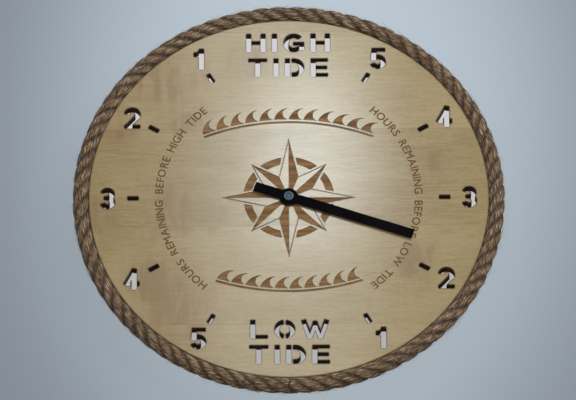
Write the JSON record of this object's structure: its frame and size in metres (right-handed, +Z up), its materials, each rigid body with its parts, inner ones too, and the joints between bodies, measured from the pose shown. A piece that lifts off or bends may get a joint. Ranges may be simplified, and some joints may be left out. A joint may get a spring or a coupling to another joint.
{
  "type": "tide clock",
  "caption": "Round wall tide clock: wooden dial with cut-out hour marks and a rope rim, one hand, and a battery movement that turns it once a tide.",
  "frame": {"origin": "on the wall plane (rear face of the case cover), on the hand's axis", "axes": "+X right and +Z up for someone facing the dial, +Y into the wall; the dial faces -Y"},
  "size_m": [0.3242, 0.029, 0.3242],
  "materials": {
    "maple": "satin varnish, engraving and cut edges burnt brown",
    "rope_fibre": "natural three-strand fibre, dull",
    "rubber": "matte",
    "brass": "turned",
    "hand_black": "black satin paint",
    "cap_grey": "grey satin",
    "gear_plastic": "moulded acetal",
    "case_plastic": "fine matt grain",
    "bobbin_plastic": "moulded",
    "magnet": "ground",
    "steel": "nickel plated",
    "copper": "enamelled wire",
    "board": "paper phenolic board",
    "chip_resin": "cast resin",
    "cell_sleeve": "plain printed sleeve, no marks"
  },
  "bodies": {
    "clock_body": {"dial_plate": "maple", "rope_trim": "rope_fibre", "rubber_gasket": "rubber", "threaded_bush": "brass", "brass_washer": "brass", "fixing_nut": "brass", "case_tray": "case_plastic", "case_cover": "case_plastic", "cover_screws": "steel", "bearing_plate": "bobbin_plastic", "stator": "steel", "coil_core": "steel", "coil_bobbin": "bobbin_plastic", "coil_winding": "copper", "coil_leads": "copper", "circuit_board": "board", "chip_cap": "chip_resin", "quartz_crystal": "steel", "battery_cell": "cell_sleeve", "positive_contact": "steel", "negative_contact": "steel"},
    "hand_body": {"tide_wheel": "gear_plastic", "tide_hand": "hand_black", "hand_collet": "brass", "hand_cap": "cap_grey"},
    "setting_body": {"motion_wheel": "gear_plastic", "setting_knob": "case_plastic"},
    "cannon_body": {"cannon_pinion": "gear_plastic"},
    "clutch_body": {"clutch_wheel": "gear_plastic"},
    "third_body": {"third_wheel": "gear_plastic"},
    "second_body": {"second_wheel": "gear_plastic"},
    "step_body": {"step_wheel": "gear_plastic"},
    "rotor_body": {"rotor": "magnet"}
  },
  "joints": [
    {"name": "hand_turn", "type": "hinge", "parent": "clock_body", "child": "hand_body", "pos_m": [0, 0, 0], "axis": [0, 1, 0], "continuous": true},
    {"name": "setting_turn", "type": "hinge", "parent": "clock_body", "child": "setting_body", "pos_m": [-0.00918, 0, 0.0053], "axis": [0, 1, 0], "continuous": true},
    {"name": "cannon_turn", "type": "hinge", "parent": "clock_body", "child": "cannon_body", "pos_m": [0, 0, 0], "axis": [0, 1, 0], "continuous": true},
    {"name": "second_turn", "type": "hinge", "parent": "clock_body", "child": "second_body", "pos_m": [0.00962, 0, -0.00098], "axis": [0, 1, 0], "continuous": true},
    {"name": "step_turn", "type": "hinge", "parent": "clock_body", "child": "step_body", "pos_m": [0.01598, 0, 0.00538], "axis": [0, 1, 0], "continuous": true},
    {"name": "rotor_turn", "type": "hinge", "parent": "clock_body", "child": "rotor_body", "pos_m": [0.0175, 0, 0.014], "axis": [0, 1, 0], "continuous": true},
    {"name": "third_turn", "type": "hinge", "parent": "clock_body", "child": "third_body", "pos_m": [0.006, 0, 0.00671], "axis": [0, 1, 0], "continuous": true},
    {"name": "clutch_turn", "type": "hinge", "parent": "clock_body", "child": "clutch_body", "pos_m": [0, 0, 0], "axis": [0, 1, 0], "continuous": true}
  ],
  "couplings": [
    {"joint": "setting_turn", "follows": "hand_turn", "ratio": -3.6364},
    {"joint": "cannon_turn", "follows": "hand_turn", "ratio": 12.424},
    {"joint": "step_turn", "follows": "second_turn", "ratio": -5},
    {"joint": "rotor_turn", "follows": "second_turn", "ratio": 30},
    {"joint": "third_turn", "follows": "second_turn", "ratio": -0.13333},
    {"joint": "clutch_turn", "follows": "second_turn", "ratio": 0.016667}
  ]
}
